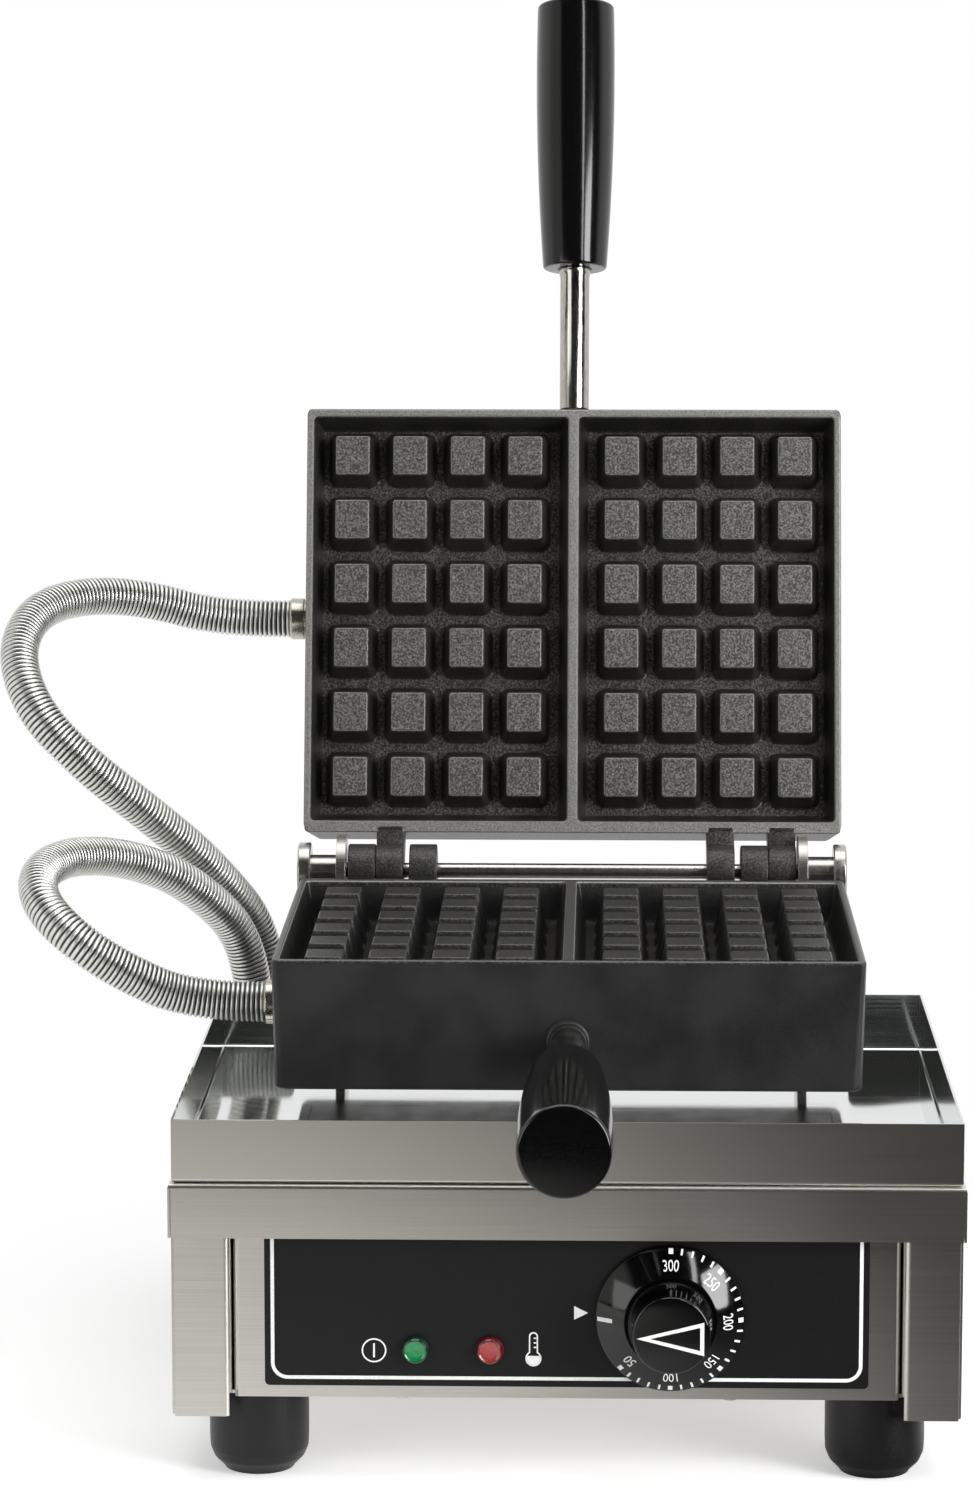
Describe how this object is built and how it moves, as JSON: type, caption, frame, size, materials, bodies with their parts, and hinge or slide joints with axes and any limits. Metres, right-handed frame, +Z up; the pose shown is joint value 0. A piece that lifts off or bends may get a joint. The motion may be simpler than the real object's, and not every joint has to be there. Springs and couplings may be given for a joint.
{
  "type": "liege waffle maker",
  "caption": "Electric waffle maker: two hinged cast irons with deep pegs and rod handles over a drip tray, on a steel base with a dial and lamps.",
  "frame": {"origin": "on the surface it stands on, under the middle of the object's box, measured without the two hoses", "axes": "+Z up, +Y from the control panel to the back, +X to the right seen from the front and along the hinge"},
  "size_m": [0.4169, 0.5598, 0.5952],
  "materials": {
    "black_grip": "glossy black thermoset plastic",
    "block_ceramic": "glazed ceramic",
    "brushed_sheet": "stainless sheet brushed along its length",
    "capillary_copper": "drawn copper",
    "cast_iron": "raw machined cast iron, fine grain",
    "ceramic_fibre": "matt white ceramic fibre",
    "cover_sheet": "plain steel sheet",
    "fitting_metal": "nickel-plated brass",
    "foot_rubber": "satin black rubber",
    "gland_plastic": "moulded plastic",
    "green_lens": "clear green plastic",
    "heater_sheath": "heat-tinted steel sheath",
    "hinge_steel": "ground steel",
    "hose_armour": "wound steel strip",
    "knob_plastic": "satin black plastic with white print",
    "label_film": "satin black printed film",
    "plated_steel": "bright plated steel",
    "polished_steel": "bright stainless sheet, mirror-like inside",
    "red_lens": "clear red plastic",
    "screw_steel": "bright zinc plate",
    "socket_plastic": "moulded plastic",
    "thermostat_housing": "moulded plastic",
    "wire_sleeve": "silicone sleeve"
  },
  "bodies": {
    "base": {"axle_end_left": "plated_steel", "axle_end_right": "plated_steel", "base_plate": "brushed_sheet", "base_screws": "screw_steel", "cable_gland": "gland_plastic", "earth_stud": "screw_steel", "foot_front_left": "foot_rubber", "foot_front_right": "foot_rubber", "foot_rear_left": "foot_rubber", "foot_rear_right": "foot_rubber", "foot_screws": "screw_steel", "front_label": "label_film", "front_panel": "brushed_sheet", "front_post_left": "brushed_sheet", "front_post_right": "brushed_sheet", "gland_nuts": "fitting_metal", "green_lamp_lens": "green_lens", "green_lamp_socket": "socket_plastic", "hinge_rod": "plated_steel", "lower_hose": "hose_armour", "lower_hose_gland": "fitting_metal", "rear_panel": "brushed_sheet", "rear_post_left": "brushed_sheet", "rear_post_right": "brushed_sheet", "red_lamp_lens": "red_lens", "red_lamp_socket": "socket_plastic", "rest_bar": "hinge_steel", "sensor_capillary": "capillary_copper", "side_panel_left": "brushed_sheet", "side_panel_right": "brushed_sheet", "terminal_block": "block_ceramic", "thermostat_body": "thermostat_housing", "thermostat_wires": "wire_sleeve", "top_cover": "brushed_sheet", "upper_hose": "hose_armour", "upper_hose_gland": "fitting_metal", "upright_left": "hinge_steel", "upright_right": "hinge_steel", "upright_screws": "screw_steel"},
    "lower_iron": {"lower_back_cover": "cover_sheet", "lower_cover_screws": "screw_steel", "lower_handle_grip": "black_grip", "lower_handle_rod": "plated_steel", "lower_heating_element": "heater_sheath", "lower_insulation": "ceramic_fibre", "lower_iron_casting": "cast_iron", "lower_hose_ferrule": "fitting_metal", "sensor_bulb": "heater_sheath"},
    "upper_iron": {"upper_back_cover": "cover_sheet", "upper_cover_screws": "screw_steel", "upper_handle_grip": "black_grip", "upper_handle_rod": "plated_steel", "upper_heating_element": "heater_sheath", "upper_insulation": "ceramic_fibre", "upper_iron_casting": "cast_iron", "upper_hose_ferrule": "fitting_metal"},
    "dial": {"dial_knob": "knob_plastic", "dial_spindle": "plated_steel"},
    "drip_tray": {"drip_tray": "polished_steel"}
  },
  "joints": [
    {"name": "lower_lift", "type": "hinge", "parent": "base", "child": "lower_iron", "pos_m": [0, 0.12873, 0.2037], "axis": [-1, 0, 0], "range_deg": [0, 75], "deforming": ["lower_hose"]},
    {"name": "lid_hinge", "type": "hinge", "parent": "lower_iron", "child": "upper_iron", "pos_m": [0, 0.12873, 0.2037], "axis": [1, 0, 0], "range_deg": [0, 104.32], "deforming": ["upper_hose"]},
    {"name": "dial_turn", "type": "hinge", "parent": "base", "child": "dial", "pos_m": [0.0417, -0.13997, 0.069], "axis": [0, 1, 0], "range_deg": [0, 270]},
    {"name": "tray_slide", "type": "slide", "parent": "base", "child": "drip_tray", "axis": [0, -1, 0], "range_m": [0, 0.25]}
  ]
}
